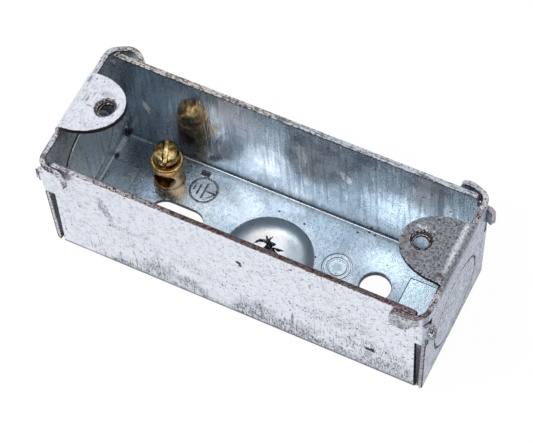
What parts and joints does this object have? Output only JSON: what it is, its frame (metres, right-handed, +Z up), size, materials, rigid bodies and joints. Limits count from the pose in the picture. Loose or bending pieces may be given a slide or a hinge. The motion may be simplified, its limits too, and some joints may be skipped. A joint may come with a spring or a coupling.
{
  "type": "architrave back box",
  "caption": "Narrow open-topped back box of folded galvanised sheet steel for an architrave switch, with tapped lugs, knock-outs and a brass earth terminal.",
  "frame": {"origin": "under the middle of the box, level with the lowest point of the dished knock-out that the box stands on", "axes": "+X runs along the box towards the level lug, +Y across it towards the long wall beside the earth terminal, +Z up out of the open side"},
  "size_m": [0.0774, 0.0301, 0.0329],
  "materials": {
    "galvanised_steel": "zinc plated sheet, mottled, scratched and rusty along its cut edges",
    "brass": "turned brass, bright on top and dull inside"
  },
  "bodies": {
    "box": {"box_body": "galvanised_steel", "earth_terminal_pillar": "brass"},
    "clamp_screw": {"earth_terminal_screw": "brass"}
  },
  "joints": [
    {"name": "clamp_screw_travel", "type": "slide", "parent": "box", "child": "clamp_screw", "axis": [0, 0, 1], "range_m": [-0.0009, 0.0027]}
  ]
}
